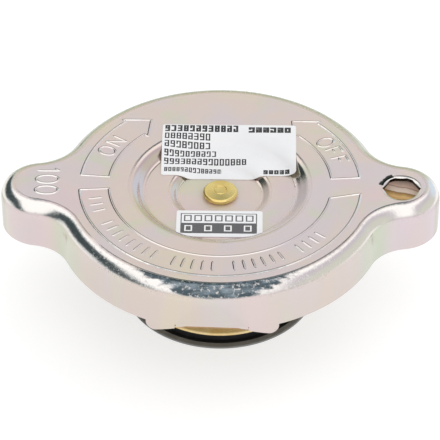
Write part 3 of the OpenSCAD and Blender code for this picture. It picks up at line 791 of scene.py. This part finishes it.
ridgeTree = makeRidgeTree()
marks = {
    "bannerRidge": [(True, bannerLine())],
    "arrowRidges": [(True, arrowLine(False)), (True, arrowLine(True))],
    "bannerTicks": tickLines(),
    "turnWords": [stroke for word, w in turnWords.items()
                  for stroke in wrap(spell(word, w["size"], w["gap"]), w["radius"], w["angle"])],
    "ratingNumber": lay(spell(rating["digits"], rating["size"], rating["gap"]),
                        rating["x"], rating["y"], rating["turn"]),
}
for name, strokes in marks.items():
    ridge = grow(name, ridgeTree, {
        "Width": embossLook["width"], "Height": embossLook["height"], "Sink": embossLook["sink"],
        "Step": embossLook["step"], "Bell Points": embossLook["bellPoints"], "Material": zinc},
        strokeMesh(name + "Lines", strokes, embossLook["face"]))
    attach(ridge, "cover")
    top = max(v.co.z for v in ridge.data.vertices) / mm
    print(name, "raised,", len(ridge.data.polygons), "faces, top at", round(top, 3))


cameraView = {"target": (-0.053, 0.0, 19.705), "distance": 669.7, "azimuth": 0.913, "elevation": 39.792,
              "pixelsPerMm": 4.353, "frame": 440, "sensor": 36.0, "clip": (0.01, 50)}


def placeCamera():
    view = cameraView
    data = bpy.data.cameras.new("photoCamera")
    camera = bpy.data.objects.new("photoCamera", data)
    scene.collection.objects.link(camera)
    turn, tilt = math.radians(view["azimuth"]), math.radians(view["elevation"])
    back = Vector((math.sin(turn) * math.cos(tilt), -math.cos(turn) * math.cos(tilt), math.sin(tilt)))
    camera.location = (Vector(view["target"]) + back * view["distance"]) * mm
    camera.rotation_euler = back.to_track_quat("Z", "Y").to_euler()
    data.sensor_fit = "HORIZONTAL"
    data.sensor_width = view["sensor"]
    data.lens = view["sensor"] * view["pixelsPerMm"] * view["distance"] / view["frame"]
    data.clip_start, data.clip_end = view["clip"]
    scene.camera = camera


placeCamera()
print("camera placed")

studio = {
    "white": "#ffffff", "skyLevel": 0.9, "panel": (0.0, 0.768, 0.64), "panelLevel": 0.87, "boxLean": 0.9,
    "floorSize": 6.0, "floor": "#b4b4b4", "floorGlow": 0.6, "floorLift": 0.05,
}
# what the metal mirrors besides the plain panel, later over earlier: for each area the soft limits
# of a direction's X, Y and Z, then its level and its colour; boxes are overhead, with the gap
# between them, and seam rings the panel
mirrored = {
    "boxes": {"lean": (-0.1, 0.02), "z": (0.1, 0.45), "level": 1.2, "tint": "#ffffff"},
    "lowBack": {"y": (0.3, 0.6), "zEnd": (0.3, 0.55), "level": 0.7, "tint": "#f4fbe0"},
    "right": {"x": (0.34, 0.52), "frontLean": 0.25, "level": 0.7, "tint": "#f6f0fa"},
    "rightEnd": {"x": (0.6, 0.85), "level": 0.76, "tint": "#f8faf0"},
    "lowRight": {"x": (0.25, 0.45), "y": (0.4, 0.65), "zEnd": (0.45, 0.6), "level": 1.05, "tint": "#dcecfa"},
    "seam": {"degrees": (4.5, 6.0, 10.5, 12.5), "z": (0.66, 0.7), "level": 0.12, "tint": "#c4e6f0"},
    "gap": {"half": 0.12, "soft": (-0.04, 0.03), "y": (0.3, 0.42), "lean": (-0.1, 0.0),
            "level": 0.26, "tint": "#c4e6f0"},
    "left": {"lean": (-0.05, 0.13), "upLean": 0.75, "frontLean": 0.7, "x": (0.28, 0.45), "xEnd": (0.94, 0.99),
             "z": (0.03, 0.12), "level": 0.08, "tint": "#c4e6f0"},
}
lamps = {
    "keySoftbox": {"place": (0.5, 0.6, 0.35), "size": 0.6, "power": 2.0},
    "frontSoftbox": {"place": (0.35, -0.75, 0.25), "size": 0.4, "power": 1.0},
}
lampAim = Vector((0, 0, 0.02))


def mirrorLight(kit):  # level and colour of the light by direction, as seen in the metal
    ray = kit.add("ShaderNodeTexCoord", out="Generated")
    x, y, z = ray.axes()
    leftwards = 0 - x
    ahead = (0 - y).most(0.0)
    overhead = studio["boxLean"] * z - y
    facing = kit.add("ShaderNodeVectorMath", {"operation": "DOT_PRODUCT"},
                     {0: ray, 1: Vector(studio["panel"]).normalized()}, "Value")
    boxes, lowBack, right, rightEnd, lowRight, seam, gap, left = mirrored.values()
    inner, innerSoft, outerSoft, outer = (math.cos(math.radians(a)) for a in seam["degrees"])
    leftLean = leftwards - left["upLean"] * z - left["frontLean"] * ahead
    leftWall = leftLean.ease(*left["lean"]) * leftwards.ease(*left["x"]) * (1 - leftwards.ease(*left["xEnd"]))
    masks = (
        overhead.ease(*boxes["lean"]) * z.ease(*boxes["z"]),
        y.ease(*lowBack["y"]) * (1 - z.ease(*lowBack["zEnd"])),
        (x - right["frontLean"] * ahead).ease(*right["x"]),
        x.ease(*rightEnd["x"]),
        x.ease(*lowRight["x"]) * y.ease(*lowRight["y"]) * (1 - z.ease(*lowRight["zEnd"])),
        facing.ease(outer, outerSoft) * (1 - facing.ease(innerSoft, inner)) * z.ease(*seam["z"]),
        (1 - (x.size() - gap["half"]).ease(*gap["soft"])) * y.ease(*gap["y"]) * overhead.ease(*gap["lean"]),
        leftWall * z.ease(*left["z"]),
    )
    level, tint = studio["panelLevel"], tone(studio["white"])
    for mask, area in zip(masks, mirrored.values()):
        level = level + mask * (area["level"] - level)
        tint = mask.mix(tint, tone(area["tint"]))
    return level, tint


def makeWorld():
    world = bpy.data.worlds.new("studioWorld")
    world.use_nodes = True
    world.node_tree.nodes.clear()
    scene.world = world
    kit = Sock(world.node_tree)
    glossy = kit.add("ShaderNodeLightPath", out="Is Glossy Ray")
    camera = kit.add("ShaderNodeLightPath", out="Is Camera Ray")
    mirrorLevel, tint = mirrorLight(kit)
    level = (studio["skyLevel"] + glossy * (mirrorLevel - studio["skyLevel"])).most(camera)
    kit.add("ShaderNodeOutputWorld", None, {"Surface": kit.add("ShaderNodeBackground", None, {
        "Color": glossy.mix(tone(studio["white"]), tint), "Strength": level})})


def layFloor():
    half = studio["floorSize"] / 2
    mesh = bpy.data.meshes.new("studioFloor")
    corners = [(-half, -half, 0), (half, -half, 0), (half, half, 0), (-half, half, 0)]
    mesh.from_pydata(corners, [], [(0, 1, 2, 3)])
    floor = bpy.data.objects.new("studioFloor", mesh)
    scene.collection.objects.link(floor)
    finish, kit, _ = newFinish("floorPaper")
    base = kit.add("ShaderNodeBsdfDiffuse", None, {"Color": tone(studio["floor"])})
    seen = kit.add("ShaderNodeLightPath", out="Is Camera Ray")
    glow = kit.add("ShaderNodeEmission", None, {"Strength": studio["floorGlow"] + studio["floorLift"] * seen})
    paper = kit.add("ShaderNodeAddShader", None, {0: base, 1: glow})
    kit.add("ShaderNodeOutputMaterial", None, {"Surface": paper})
    mesh.materials.append(finish)


def hangLamps():
    for name, lamp in lamps.items():
        data = bpy.data.lights.new(name, "AREA")
        data.shape, data.size, data.energy = "SQUARE", lamp["size"], lamp["power"]
        light = bpy.data.objects.new(name, data)
        scene.collection.objects.link(light)
        light.location = lamp["place"]
        light.visible_glossy = False
        light.rotation_euler = (Vector(lamp["place"]) - lampAim).to_track_quat("Z", "Y").to_euler()


makeWorld()
layFloor()
hangLamps()
scene.view_settings.view_transform = "Standard"
print("studio lit")
